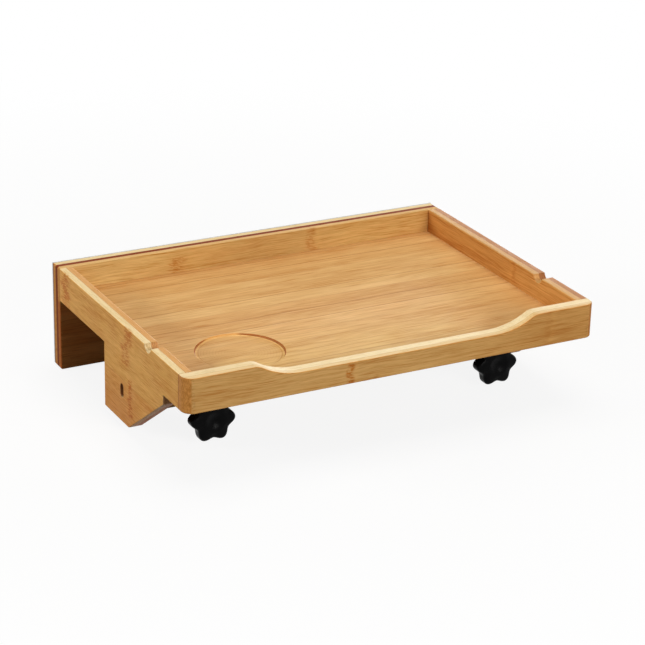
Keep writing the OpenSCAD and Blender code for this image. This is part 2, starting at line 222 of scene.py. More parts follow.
def bamboo_group():
    """Glued bamboo strips. Place is (along the grain, across the strips, through the ply) in mm, and
    Facing is the surface's normal on the same axes."""
    tree = bpy.data.node_groups.new("bamboo_strips", "ShaderNodeTree")
    for kind, names in (
        ("Vector", ("Place", "Facing")), ("Color", ("Light", "Dark", "Side", "End")),
        ("Float", ("Width", "Seed", "Marks", "Shift", "Contrast", "Slope", "Fineness")),
    ):
        for name in names:
            tree.interface.new_socket(name, in_out="INPUT", socket_type="NodeSocket" + kind)
    for name, kind in (("Color", "Color"), ("Height", "Float"), ("Tone", "Float")):
        tree.interface.new_socket(name, in_out="OUTPUT", socket_type="NodeSocket" + kind)
    g = Graph(tree)
    given = g.add("NodeGroupInput").outputs
    u, v, w = g.split(given["Place"])
    fu, fv = (g.absolute(part) for part in g.split(given["Facing"])[:2])
    seed = given["Seed"]

    # which strip, and how far its glue line is
    drift = g.about(g.noise(g.join(g.times(u, 1 / 150), seed, 0.0), 1.0), 0.5, 1.2)
    s = g.math("DIVIDE", g.plus(v, drift, given["Shift"]), given["Width"])
    strip = g.math("FLOOR", s)
    inside = g.minus(s, strip)
    border = g.math("ROUND", s)
    to_line = g.times(g.absolute(g.minus(s, border)), given["Width"])
    stretch, shade, tilt = g.random(g.join(strip, seed, 3.1))
    glue = g.random(g.join(border, seed, 7.7))[0]
    line = g.times(g.ease(to_line, 0.75, 0.1), g.ease(glue, 0.1, 0.9, 0.25, 1.0))

    # fibres, each strip cut from another stretch of cane; they sway a little along it
    along = g.plus(u, g.times(stretch, 900.0), g.times(seed, 31.0))
    sway = g.about(g.noise(g.stretched((along, v, w), (1 / 60, 0.04, 0.04)), 1.0), 0.5, 5.0)
    turn = g.math("FRACT", g.times(along, 1 / NODE_SPACING))
    fibres = [g.times(part, given["Fineness"]) for part in (along, g.plus(v, sway), w)]
    along, across = fibres[:2]
    streak = g.noise(g.stretched(fibres, (1 / 62, 0.5, 0.5)), 4.0, 0.66)
    fine = g.noise(g.stretched(fibres, (1 / 17, 1.5, 1.5)), 2.0, 0.6)
    bundle = g.ease(g.noise(g.stretched(fibres, (1 / 34, 1.0, 1.0), 40.0), 1.0), 0.58, 0.7)
    pale = g.ease(g.noise(g.stretched(fibres, (1 / 45, 0.7, 0.7), 80.0), 1.0), 0.6, 0.72)
    broad = g.noise(g.stretched((along, v, w), (1 / 150, 0.06, 0.06)), 2.0)
    lean = g.times(g.about(inside, 0.5, 1.0), g.about(tilt, 0.5, 0.45))

    # node marks: a broken dark seam with short dashes on both sides of it
    wave = g.about(g.noise(g.join(g.times(v, 0.16), g.times(w, 0.16), strip), 1.0), 0.5, 12.0)
    from_node = g.absolute(g.plus(g.about(turn, 0.5, NODE_SPACING), wave))
    beside = g.ease(from_node, 8.0, 0.5)
    broken = g.ease(g.noise(g.join(g.times(v, 0.7), g.times(w, 0.7), g.times(strip, 7.0)), 1.0), 0.45, 0.65)
    seam = g.times(g.ease(from_node, 1.5, 0.3), broken)
    dash = g.ease(g.noise(g.stretched((u, v, w), (0.2, 0.72, 0.72)), 2.0, 0.6), 0.5, 0.64)
    mark = g.plus(g.times(seam, 0.5), g.times(dash, beside, 0.8), g.times(beside, 0.1))
    mark = g.clamp(g.times(mark, given["Marks"]))

    # the broad face of the strips
    tone = g.plus(g.about(streak, 0.5, 2.0), g.about(fine, 0.5, 1.5), g.times(bundle, 0.46),
                  g.times(pale, -0.36), g.about(broad, 0.5, 1.0), lean)
    tone = g.clamp(g.plus(0.42, g.times(given["Contrast"], tone)))
    hue = g.join(g.times(along, 1 / 50), g.times(across, 0.11), g.plus(g.times(w, 0.11), 5.0))
    hue = g.plus(g.ease(shade, 0.05, 0.95), g.about(g.noise(hue, 3.0, 0.6), 0.5, 2.2))
    depth = g.ramp(tone, (0.0, (1.0, 1.0, 1.0)), (0.42, (0.87, 0.84, 0.78)), (1.0, (0.69, 0.51, 0.32)))
    face = g.mix(1.0, g.mix(g.clamp(hue), given["Light"], given["Dark"]), depth, "MULTIPLY")
    face = g.tint(1.0, face, (1.16, 1.2, 1.29))
    face = g.tint(line, face, (0.66, 0.5, 0.34))
    face = g.tint(mark, face, (0.52, 0.33, 0.19))

    # the long sides of the plies
    speck = g.ease(g.noise(g.stretched((along, v, w), (1 / 5, 1.2, 1.2)), 1.0), 0.56, 0.7)
    side = g.tint(g.times(tone, 0.8), given["Side"], (0.86, 0.76, 0.62))
    side = g.tint(g.times(speck, 0.45), side, (0.78, 0.8, 0.72))
    side = g.tint(g.times(mark, 0.5), side, (0.6, 0.45, 0.3))

    # end grain: the cut fibre bundles show as dots and short lines along the strip
    dense = g.ease(g.noise(g.stretched((u, v, w), (0.08, 0.3, 1.3)), 3.0, 0.75), 0.62, 0.4)
    end = g.tint(g.times(dense, 0.8), given["End"], (0.66, 0.54, 0.4))
    end = g.tint(g.ease(shade, 0.2, 0.9, 0.0, 0.4), end, (1.1, 1.12, 1.15))
    end = g.tint(g.times(line, 0.5), end, (0.6, 0.5, 0.4))

    colour = g.mix(g.ease(fv, 0.55, 0.85), face, side)
    colour = g.mix(g.ease(g.minus(fu, g.times(fv, given["Slope"])), 0.3, 0.45), colour, end)
    height = g.plus(g.times(fine, 0.6), g.times(streak, 0.35), g.times(bundle, -0.3), g.times(line, -0.9),
                    g.times(mark, -0.5), g.times(dense, fu, -0.4))
    result = g.add("NodeGroupOutput").inputs
    g.put(result["Color"], colour)
    g.put(result["Height"], height)
    g.put(result["Tone"], g.clamp(g.plus(tone, g.times(fu, 0.4))))
    return tree


BAMBOO = bamboo_group()


def ply(g, place, facing, layer, shared):
    """The colour, height and tone of one ply. layer is as in bamboo(), and shared is what all plies have."""
    grain, strips, width, seed, light, dark, side, end, marks, shift = layer
    order = [AXIS[grain], AXIS[strips]]
    order.append(3 - sum(order))
    node = g.add("ShaderNodeGroup", node_tree=BAMBOO)
    sockets = {"Place": g.join(*(place[i] for i in order)), "Facing": g.join(*(facing[i] for i in order)),
               "Width": width, "Seed": seed, "Light": light, "Dark": dark, "Side": side, "End": end,
               "Marks": marks, "Shift": shift, **shared}
    for name, value in sockets.items():
        g.put(node.inputs[name], value)
    return [node.outputs[name] for name in ("Color", "Height", "Tone")]


def rubbed_edges(g, place, facing, edges):
    """Where handling has polished and paled a rounded edge. It faces between two of the axes in edges."""
    largest = g.absolute(facing[AXIS[edges[0]]])
    for letter in edges[1:]:
        largest = g.math("MAXIMUM", largest, g.absolute(facing[AXIS[letter]]))
    between = g.ease(largest, 0.985, 0.88)
    if len(edges) == 1:
        between = g.times(between, g.ease(largest, 0.1, 0.3))
    worn = g.ease(g.noise(g.stretched(place, (0.09, 0.09, 0.09)), 3.0, 0.6), 0.42, 0.62)
    return g.times(between, worn)


def bamboo(name, layers, across="z", bounds=(), edges="xyz", extra=None, rough=0.46, contrast=1.0,
           slope=0.0, joints=(), fineness=1.0):
    """Lacquered laminated bamboo. layers are the plies in order along the axis across, parted at
    bounds (mm): each is (grain axis, strip axis, strip width, seed, light, dark, side, end, marks, shift).
    edges names the normal axes between which a rounded edge lies. slope keeps end grain off cut slopes,
    joints are (axis, place in mm) of the dark lines where another board meets it, and extra paints on."""
    material, g, shader = new_material(name, Specular_IOR_Level=0.1)
    where = g.add("ShaderNodeTexCoord").outputs
    place = g.split(g.scaled(where["Object"], 1000.0))
    facing = g.split(where["Normal"])
    shared = {"Contrast": contrast, "Slope": slope, "Fineness": fineness}
    plies = [ply(g, place, facing, layer, shared) for layer in layers]
    colour, height, tone = plies[0]
    depth, faces_across = place[AXIS[across]], g.absolute(facing[AXIS[across]])
    for bound, (next_colour, next_height, next_tone) in zip(bounds, plies[1:]):
        step = g.ease(depth, bound - 0.05, bound + 0.05)
        before = g.minus(1.0, step)
        glue = g.times(g.band(depth, bound, 0.28, 0.06), g.ease(faces_across, 0.5, 0.2))
        colour = g.tint(g.times(glue, 0.55), g.mix(step, colour, next_colour), (0.5, 0.36, 0.25))
        height = g.plus(g.times(height, before), g.times(next_height, step), g.times(glue, -0.5))
        tone = g.plus(g.times(tone, before), g.times(next_tone, step))
    rubbed = rubbed_edges(g, place, facing, edges)
    colour = g.tint(g.times(rubbed, 0.55), colour, (1.1, 1.13, 1.16))
    if extra:
        colour, height = extra(g, place, facing, colour, height)
    for axis, at in joints:
        line = g.times(g.band(place[AXIS[axis]], at, 0.75, 0.2),
                       g.ease(g.absolute(facing[AXIS[axis]]), 0.8, 0.5),
                       g.ease(facing[2], 0.3, 0.8, 1.0, 0.05))
        colour = g.tint(g.times(line, 0.9), colour, (0.48, 0.18, 0.05))
    patch = g.noise(g.stretched(place, (0.035, 0.035, 0.035)), 3.0, 0.6)
    roughness = g.plus(rough, g.times(tone, 0.1), g.about(patch, 0.5, 0.16), g.times(rubbed, 0.08))
    g.put(shader.inputs["Base Color"], colour)
    g.put(shader.inputs["Roughness"], g.clamp(roughness))
    g.put(shader.inputs["Normal"], g.bump(height, 0.35, 0.0003))
    return material


def add_nodes(g, place, colour, height, axes, *marks):
    """Adds nodes of the cane, columns of short dark dashes across a face. axes are the grain's axis, the
    face's other axis and the one it faces. Each mark is (place of the face, (place along the grain,
    lowest, highest), half the column's width, strength, seed, bend, lean), with places in mm."""
    u, v, w = (place[AXIS[axis]] for axis in axes)
    for face, (at, low, high), reach, strength, seed, bend, lean in marks:
        rise = g.about(v, (low + high) / 2, 1.0)
        wobble = g.about(g.noise(g.join(g.times(v, 0.13), seed, 0.0), 2.0), 0.5, reach * 2.2)
        away = g.plus(g.about(u, at, 1.0), g.times(rise, rise, bend), g.times(rise, lean), wobble)
        tall = g.times(g.ease(v, low - 2.0, low + 2.0), g.ease(v, high + 2.0, high - 2.0))
        dash = g.noise(g.join(g.times(u, 0.17), g.times(g.plus(v, g.times(away, 0.12)), 0.62),
                              g.plus(seed, g.times(w, 0.6))), 2.0, 0.65)
        dark = g.times(g.plus(g.ease(dash, 0.43, 0.56), 0.16), g.band(away, 0.0, reach, reach * 0.2), tall)
        dark = g.clamp(g.times(dark, strength))
        pale = g.times(g.band(away, reach, reach, 0.0), tall, g.ease(dash, 0.62, 0.4), 0.45)
        shown = g.band(w, face, 2.2, 0.6)
        colour = g.tint(g.times(pale, shown), colour, (1.14, 1.14, 1.1))
        colour = g.tint(g.times(dark, shown), colour, (0.76, 0.47, 0.23))
        height = g.plus(height, g.times(dark, shown, -0.5))
    return colour, height


# ---- each board's bamboo: a pair is the light and the dark canes of a face ----

FACE = srgb(212, 164, 98), srgb(204, 150, 80)
LEFT = srgb(219, 158, 80), srgb(218, 162, 82)
RIGHT = srgb(209, 152, 82), srgb(202, 140, 70)
FLOOR = srgb(220, 176, 114), srgb(208, 158, 96)
INNER = srgb(220, 168, 100), srgb(212, 156, 88)
BACK = srgb(211, 171, 104), srgb(206, 158, 92)
BEECH = srgb(226, 192, 142), srgb(216, 180, 130)
CREAM, TAN, PINK = srgb(236, 212, 162), srgb(209, 163, 101), srgb(180, 120, 64)
END_TAN, END_BROWN, END_RED = srgb(213, 150, 78), srgb(160, 104, 60), srgb(136, 60, 24)
SIDE_PLY_X = 193.6  # where the two plies of a side board meet


def front_tones(g, place, facing, colour, height):
    """The front board's node marks, the deeper tone of its right end and its orange rounded edges."""
    colour, height = add_nodes(
        g, place, colour, height, "xzy",
        (-TRAY_D, (-47.0, -2.0, 20.0), 5.0, 1.0, 2.3, 0.0, 0.0),
        (-TRAY_D, (-22.0, -2.0, 4.0), 4.0, 0.5, 5.1, 0.0, 0.0),
        (-TRAY_D, (151.0, -2.0, 34.0), 5.0, 0.2, 8.4, 0.01, 0.0),
    )
    deep = g.times(g.ease(place[0], 20.0, 170.0), g.ease(place[1], -270.0, -272.5))
    colour = g.tint(g.times(deep, 0.8), colour, (0.9, 0.78, 0.64))
    upright = g.absolute(facing[2])
    edge = g.times(g.ease(upright, 0.1, 0.35), g.ease(upright, 0.9, 0.7), g.ease(facing[1], -0.2, -0.4))
    return g.tint(edge, colour, (0.92, 0.72, 0.5)), height


def left_tones(g, place, facing, colour, height):
    """The left board's node marks, and painted shade on its bracket's front- and rear-facing faces below the
    tray.
    """
    colour, height = add_nodes(
        g, place, colour, height, "yzx",
        (-HALF_W, (-16.0, -2.0, 33.0), 13.0, 1.0, 3.7, 0.004, 0.0),
        (-HALF_W, (-153.0, -4.0, 33.0), 13.0, 0.85, 6.2, 0.0, 0.25),
        (-HALF_W, (-160.0, -50.0, -14.0), 6.0, 1.0, 9.9, 0.0, 0.0),
    )
    # painted shade: below the tray, faces that look to the front or the back, such as the bracket's step, are
    # darkened
    cross = g.times(g.ease(place[2], -0.2, -1.0), g.ease(g.absolute(facing[1]), 0.4, 0.6))
    colour = g.tint(cross, colour, (0.86, 0.64, 0.6))
    deep = g.times(g.ease(place[2], -16.0, -58.0), g.ease(place[1], -200.0, -150.0))
    return g.tint(deep, colour, (0.82, 0.68, 0.56)), height


def right_tones(g, place, facing, colour, height):
    """The right board's node marks, and painted shade over the rear half of its inner face."""
    colour, height = add_nodes(
        g, place, colour, height, "yzx",
        (INNER_X, (-157.0, 12.0, 34.0), 5.0, 0.4, 4.4, 0.0, 0.0),
        (HALF_W, (-120.0, -60.0, 34.0), 5.0, 0.6, 7.3, 0.002, 0.05),
    )
    # painted shade: the inner face darkens towards the rear
    deep = g.times(g.ease(place[1], -232.0, -110.0), g.ease(place[0], INNER_X + 1.5, INNER_X + 0.5))
    return g.tint(deep, colour, (0.86, 0.8, 0.74)), height


def back_tones(g, place, facing, colour, height):
    """The tall board's node marks, painted shade on its front face and sawn ends below the tray, and the
    tones of its inner face.
    """
    colour, height = add_nodes(
        g, place, colour, height, "xzy",
        (0, (-84.0, 8.0, 24.0), 12.0, 0.6, 1.9, 0.0, 0.0),
        (0, (60.0, -70.0, 34.0), 7.0, 0.5, 6.6, 0.002, 0.0),
    )
    # painted shade: the front face below the tray is darkened and reddened as if the tray shaded it
    low = g.times(g.ease(place[2], 0.0, -6.0), g.ease(place[1], 2.0, 0.5))
    colour = g.tint(low, colour, (0.97, 0.68, 0.55))
    inside = g.times(g.ease(place[2], FLOOR_T - 0.5, FLOOR_T + 0.5), g.ease(place[1], 1.5, 0.5))
    pale = g.times(inside, g.ease(place[0], -70.0, -120.0))
    colour = g.tint(pale, colour, (1.07, 1.15, 1.26))
    middle = g.times(inside, g.band(place[0], 15.0, 85.0, 25.0))
    colour = g.tint(middle, colour, (0.9, 0.88, 0.88))
    # the sawn ends are darker along the rear edge; below the tray, painted shade darkens the front ply's sawn
    # end
    ends = g.ease(g.absolute(facing[0]), 0.5, 0.8)
    rear = g.times(ends, g.ease(place[1], BACK_T - 2.0, BACK_T - 1.0))
    colour = g.tint(g.times(rear, 0.85), colour, (0.42, 0.28, 0.24))
    # painted shade on the front ply's sawn end below the tray
    painted_shade_below_tray = g.times(ends, g.ease(place[1], 5.2, 4.4), g.ease(place[2], 2.0, -3.0))
    return g.tint(painted_shade_below_tray, colour, (0.7, 0.5, 0.38)), height


def floor_tones(g, place, facing, colour, height):
    """The yellowed strips along the floor's front, and the cup recess with its rings and a painted highlight
    on its side.
    """
    above = g.ease(place[2], 5.0, 6.0)
    sunk = g.times(g.ease(place[2], FLOOR_T - 0.2, FLOOR_T - 0.6), above)
    dx, dy = g.minus(place[0], RECESS_X), g.minus(place[1], RECESS_Y)
    radius = g.math("SQRT", g.plus(g.times(dx, dx), g.times(dy, dy)))
    # faint rings that the cutter left
    wobble = g.about(g.noise(g.join(g.times(dx, 0.04), g.times(dy, 0.04), 0.0), 2.0), 0.5, 2.0)
    ring = g.ease(g.math("SINE", g.times(g.plus(radius, wobble), 2 * math.pi / 2.6)), 0.1, 1.0)
    ring = g.times(ring, sunk, g.ease(radius, RECESS_R + 0.2, RECESS_R),
                   g.ease(g.noise(g.join(dx, dy, 3.0), 1.0, 0.5, 0.05), 0.35, 0.65))
    colour = g.tint(g.times(ring, 0.3), colour, (0.86, 0.78, 0.66))
    front = g.times(g.ease(place[1], -150.0, -235.0), g.ease(place[0], -165.0, -120.0),
                    g.ease(place[0], 140.0, 60.0), above)
    colour = g.tint(front, colour, (1.01, 1.11, 1.06))
    # the recess's side is painted paler as a highlight, and the cutter's shoulder left one ring inside it
    painted_highlight_wall = g.times(g.band(radius, RECESS_R, 0.5, 0.15), g.ease(place[2], FLOOR_T, FLOOR_T - 0.2), above)
    colour = g.tint(painted_highlight_wall, colour, (1.2, 1.1, 0.96))
    inner = g.times(g.band(radius, RECESS_R - 3.2, 0.5, 0.1), sunk)
    colour = g.tint(g.times(inner, 0.7), colour, (0.86, 0.68, 0.48))
    rim = g.times(g.ease(radius, RECESS_R - 3.0, RECESS_R - 2.0),
                  g.ease(radius, RECESS_R + 0.1, RECESS_R - 0.6), sunk)
    colour = g.tint(rim, colour, (1.08, 1.12, 1.1))
    return colour, g.plus(height, g.times(ring, -0.35), g.times(inner, -0.8))


front_wood = bamboo("bamboo_front_board", [
    ("x", "z", 60.0, 3.0, *FACE, srgb(232, 202, 148), END_TAN, 0.0, 29.0),
    ("x", "z", 60.0, 5.0, *INNER, srgb(242, 222, 178), END_TAN, 0.4, 33.0),
], across="y", bounds=[-268.5], slope=0.5, joints=[("y", INNER_Y)], extra=front_tones)
left_wood = bamboo("bamboo_left_board", [
    ("y", "z", 62.0, 11.0, *LEFT, CREAM, srgb(232, 206, 156), 0.0, 20.0),
    ("y", "z", 62.0, 12.0, *INNER, srgb(218, 164, 98), srgb(212, 156, 98), 0.6, 44.0),
], across="x", bounds=[-SIDE_PLY_X], edges="x", contrast=1.1, fineness=1.5,
   joints=[("y", INNER_Y), ("y", 0.0)], extra=left_tones)
right_wood = bamboo("bamboo_right_board", [
    ("y", "z", 62.0, 21.0, *RIGHT, TAN, srgb(224, 170, 106), 0.0, 20.0),
    ("y", "z", 62.0, 22.0, *FACE, PINK, srgb(176, 116, 72), 0.6, 44.0),
], across="x", bounds=[SIDE_PLY_X], edges="x", joints=[("y", INNER_Y), ("y", 0.0)], extra=right_tones)
back_wood = bamboo("bamboo_back_board", [
    ("x", "z", 48.0, 31.0, *BACK, srgb(222, 180, 118), srgb(208, 148, 82), 0.0, 46.0),
    ("z", "x", 20.0, 32.0, *FACE, srgb(118, 54, 16), END_RED, 0.6, 0.0),
    ("x", "z", 48.0, 33.0, *FACE, CREAM, srgb(204, 144, 80), 0.6, 5.0),
], across="y", bounds=[5.2, 9.8], extra=back_tones, rough=0.62)
floor_wood = bamboo("bamboo_tray_floor", [
    ("x", "y", 20.6, 41.0, *FLOOR, TAN, END_BROWN, 0.0, 6.0),
], extra=floor_tones, contrast=0.68)
bar_wood = bamboo("bamboo_clamp_bar", [
    ("x", "z", 22.0, 51.0, *FACE, TAN, END_BROWN, 0.8, 2.0),
    ("x", "z", 22.0, 52.0, *INNER, CREAM, END_BROWN, 0.8, 8.0),
    ("x", "z", 22.0, 53.0, *FACE, TAN, END_BROWN, 0.8, 12.0),
], across="y", bounds=[BAR_Y - 3.5, BAR_Y + 3.5])
jaw_wood = bamboo("bamboo_clamp_jaw", [
    ("x", "z", 21.0, 61.0, *FACE, TAN, END_BROWN, 1.0, 5.0),
    ("x", "z", 21.0, 62.0, *INNER, CREAM, END_BROWN, 1.0, 11.0),
], across="y", bounds=[JAW_REAR_Y - 7.5])
dowel_wood = bamboo("beech_dowels", [
    ("x", "z", 60.0, 71.0, *BEECH, srgb(222, 188, 138), srgb(190, 146, 98), 0.0, 30.0),
], edges="x", rough=0.6)


# ---- felt, plastic and steel ----

def felt_material():
    """Pressed light grey felt: tangled fibres, soft mottling and a little nap."""
    material, g, shader = new_material("grey_felt", Specular_IOR_Level=0.15, Sheen_Weight=0.25,
                                       Sheen_Roughness=0.6)
    place = g.scaled(g.add("ShaderNodeTexCoord").outputs["Object"], 1000.0)
    x, y, z = g.split(place)
    turned = g.join(g.plus(g.times(x, 0.8), g.times(z, 0.6)), y, g.plus(g.times(x, -0.6), g.times(z, 0.8)))
    strands = []
    for source, stretch in ((place, (0.2, 0.9, 1.3)), (turned, (1.2, 0.9, 0.22)), (turned, (0.28, 0.9, 1.4))):
        strands.append(g.band(g.noise(g.stretched(g.split(source), stretch), 3.0, 0.7), 0.5, 0.07, 0.0))
    fibre = g.math("MAXIMUM", g.math("MAXIMUM", strands[0], strands[1]), strands[2])
    mottle = g.noise(place, 4.0, 0.65, 0.16)
    colour = g.ramp(g.clamp(g.plus(0.5, g.about(mottle, 0.5, 1.3), g.about(fibre, 0.35, 0.6))),
                    (0.0, srgb(166, 167, 166)), (0.5, srgb(190, 191, 190)), (1.0, srgb(212, 213, 212)))
    g.put(shader.inputs["Base Color"], colour)
    g.put(shader.inputs["Roughness"], g.plus(0.86, g.times(fibre, 0.1)))
    g.put(shader.inputs["Normal"], g.bump(g.plus(g.times(fibre, 0.6), g.times(mottle, 1.4)), 0.55, 0.0005))
    return material


def knob_material():
    """Black moulding compound with a fine grain, soft cloudy gloss and a little dust."""
    material, g, shader = new_material("black_knob_plastic", Specular_IOR_Level=0.04)
    place = g.scaled(g.add("ShaderNodeTexCoord").outputs["Object"], 1000.0)
    grain = g.noise(place, 3.0, 0.7, 2.4)
    cloud = g.noise(place, 3.0, 0.6, 0.12)
    specks = g.ease(g.noise(place, 1.0, 0.5, 5.0), 0.66, 0.78)
    dust = g.times(specks, g.ease(cloud, 0.45, 0.65))
    black = g.ramp(cloud, (0.3, (0.002, 0.002, 0.0022)), (0.7, (0.0035, 0.0035, 0.0038)))
    g.put(shader.inputs["Base Color"], g.mix(g.times(dust, 0.5), black, (0.014, 0.014, 0.014, 1.0)))
    rough = g.plus(0.26, g.about(cloud, 0.5, 0.15), g.about(grain, 0.5, 0.2))
    g.put(shader.inputs["Roughness"], g.clamp(rough))
    g.put(shader.inputs["Normal"], g.bump(grain, 0.28, 0.00025))
    return material


def steel_material(name, light, dark, rough, axis, metallic=1.0, level=0.5, stain=None):
    """Turned steel: fine rings round the given axis, soft patches in the plating and small nicks."""
    material, g, shader = new_material(name, Metallic=metallic, Specular_IOR_Level=level)
    place = g.scaled(g.add("ShaderNodeTexCoord").outputs["Object"], 1000.0)
    lathe = g.noise(g.join(g.times(g.split(place)[AXIS[axis]], 5.0), 0.0, 0.0), 3.0, 0.7)
    cloud = g.noise(place, 4.0, 0.65, 0.22)
    nick = g.ease(g.noise(place, 2.0, 0.6, 1.1), 0.66, 0.74)
    colour = g.mix(g.clamp(g.plus(0.5, g.about(cloud, 0.5, 2.0))), light, dark)
    if stain:
        colour = g.mix(g.ease(g.noise(place, 2.0, 0.5, 0.3), 0.5, 0.7, 0.0, 0.5), colour, stain)
    g.put(shader.inputs["Base Color"], g.tint(g.times(nick, 0.3), colour, (0.6, 0.6, 0.6)))
    rough = g.plus(rough, g.about(cloud, 0.5, 0.25), g.times(nick, 0.15))
    g.put(shader.inputs["Roughness"], g.clamp(rough))
    g.put(shader.inputs["Normal"], g.bump(g.plus(lathe, g.times(nick, -0.5)), 0.12, 0.0001))
    return material


felt = felt_material()
knob_black = knob_material()
zinc = steel_material("zinc_plated_steel", (0.62, 0.64, 0.66, 1), (0.48, 0.5, 0.53, 1), 0.3, "y",
                      stain=(0.62, 0.6, 0.5, 1))
black_oxide = steel_material("black_oxide_steel", (0.03, 0.014, 0.009, 1), (0.018, 0.009, 0.006, 1), 0.5, "x",
                             metallic=0.0, level=0.12)


# ---- geometry ----

TIGHT = 0.14  # radius in mm of an edge that another board meets


def added(name, data):
    """A new object of the data, in the scene."""
    thing = bpy.data.objects.new(name, data)
    scene.collection.objects.link(thing)
    return thing


def mesh_of(bm, name):
    """A new mesh of the bmesh, which is freed."""
    mesh = bpy.data.meshes.new(name)
    bm.to_mesh(mesh)
    bm.free()
    return mesh


def bridge(bm, first, second):
    """Faces between two closed rings of as many vertices."""
    for i in range(len(first)):
        k = (i + 1) % len(first)
        bm.faces.new((first[i], second[i], second[k], first[k]))


def finish_mesh(mesh, name, material, sharp=35.0, weighted=True):
    """Smooth shading with sharp creases, flat faces kept flat by their area."""
    mesh.shade_smooth()
    mesh.set_sharp_from_angle(angle=math.radians(sharp))
    mesh.materials.clear()
    mesh.materials.append(material)
    piece = added(name, mesh)
    if weighted:
        modifier = piece.modifiers.new("face_weights", "WEIGHTED_NORMAL")
        modifier.keep_sharp = True
        modifier.weight = 80
    return piece


def board(node, name, material, radius, cuts):
    """A board from its CAD solid: flat faces merged, then each edge rounded by radius(middle, a, b) in mm,
    where a and b are the normals of the faces that meet there. cuts are planes (axis, place in mm) that
    part an edge, so that it can be rounded on one stretch and stay tight where another board meets it."""
    mesh = nodes[node].data.copy()
    bm = bmesh.new()
    bm.from_mesh(mesh)
    bmesh.ops.remove_doubles(bm, verts=bm.verts, dist=2e-6)
    bmesh.ops.dissolve_limit(bm, angle_limit=math.radians(0.4), use_dissolve_boundaries=False,
                             verts=bm.verts, edges=bm.edges)
    for axis, place in cuts:
        normal = Vector([float(axis == letter) for letter in AXIS])
        bmesh.ops.bisect_plane(bm, geom=bm.verts[:] + bm.edges[:] + bm.faces[:], dist=1e-7,
                               plane_co=normal * mm(place), plane_no=normal)
    bm.normal_update()
    widest = 2.0  # mm, at an edge's full weight
    weight = bm.edges.layers.float.new("bevel_weight_edge")
    for edge in bm.edges:
        if len(edge.link_faces) != 2:
            continue
        a, b = (f.normal for f in edge.link_faces)
        if a.angle(b, 0.0) < math.radians(25.0):
            continue
        middle = (edge.verts[0].co + edge.verts[1].co) * 500
        edge[weight] = max(0.0, min(1.0, radius(middle, a, b) / widest))
    bm.to_mesh(mesh)
    bm.free()
    rough_piece = added(name + "_rough", mesh)
    bevel = rough_piece.modifiers.new("rounded", "BEVEL")
    bevel.limit_method = "WEIGHT"
    bevel.width = mm(widest)
    bevel.segments = 3
    bevel.use_clamp_overlap = False
    bevel.miter_outer = "MITER_SHARP"
    graph = bpy.context.evaluated_depsgraph_get()
    final = bpy.data.meshes.new_from_object(rough_piece.evaluated_get(graph))
    bpy.data.objects.remove(rough_piece)
    return finish_mesh(final, name, material)


# ---- the rounding of each board's edges, which board() asks for ----

def near(value, target, slack=0.05):
    return abs(value - target) < slack


def front_radius(m, a, b):
    x = abs(m.x)
    by_side_board = m.y > INNER_Y - 0.5 and x > INNER_X - 0.1
    if by_side_board or (near(m.y, INNER_Y) and near(m.z, 0)):
        return TIGHT
    in_groove = m.y > INNER_Y - 6.5 and 1.0 < m.z < 9.0
    in_dowel_hole = m.y > INNER_Y - 10 and 186 < x < 197 and 5 < m.z < 26
    if in_groove or in_dowel_hole:
        return 0.0
    if near(m.y, INNER_Y) and m.z > 10:
        return 1.0
    if m.z < 0.5:
        return 0.8
    return 1.1 if m.z > 12 and max(a.z, b.z) > 0.5 else 0.0


def side_radius(m, a, b):
    x = abs(m.x)
    along_y, along_z = abs(m.y - BAR_Y), abs(m.z - BAR_Z)
    if near(m.y, INNER_Y) or near(m.y, 0):
        on_outline = near(x, INNER_X) or near(x, HALF_W) or near(m.z, 0) or m.z > RIM_H - 1.5
        return TIGHT if on_outline else 0.0
    on_rim = m.z > 25
    if near(x, INNER_X):
        if near(m.z, 0) and not BRACKET_FRONT_Y <= m.y <= BRACKET_BACK_Y:
            return TIGHT
        if on_rim:
            return 0.5
        dowel_hole = along_y < 6 and along_z < 22
        return 0.8 if m.z < 0.5 and not dowel_hole else 0.0
    if near(x, HALF_W):
        slot = along_y < 5 and along_z < 8
        if slot:
            return 0.35
        return 0.5 if on_rim else 0.9
    bracket_edge = INNER_X + 0.1 < x < HALF_W - 0.1 and m.z < -0.5 and along_y > 6
    return 0.9 if bracket_edge else 0.0


def back_radius(m, a, b):
    x = abs(m.x)
    on_top = m.z > RIM_H - 0.1
    on_outline = on_top or x > HALF_W - 3.1 or m.z < LOW_Z + 3.1
    if near(m.y, BACK_T):
        return 0.4 if on_outline else 0.0
    if near(m.y, 0):
        if x > INNER_X - 0.1 and m.z > -0.1:
            return TIGHT if near(x, HALF_W) or near(m.z, RIM_H) else 0.0
        if on_top:
            return 1.0
        return 0.9 if on_outline else 0.0
    return 1.8 if on_top and near(x, HALF_W) else 0.0


def floor_radius(m, a, b):
    from_axis = math.hypot(m.x - RECESS_X, m.y - RECESS_Y)
    if near(from_axis, RECESS_R, 0.3):
        return 0.45 if m.z > FLOOR_T - 0.5 else 1.5
    return 0.0


def block_radius(ends, fronts, rears, holes=0.25):
    """Rounding for a plain bar: its ends, its front edges, its rear edges and the mouths of its holes."""
    def radius(m, a, b):
        if max(abs(a.x), abs(b.x)) > 0.99:
            return ends
        straight = all(max(abs(c) for c in n) > 0.999 for n in (a, b))
        if not straight:
            return holes
        return fronts if min(a.y, b.y) < -0.9 else rears
    return radius


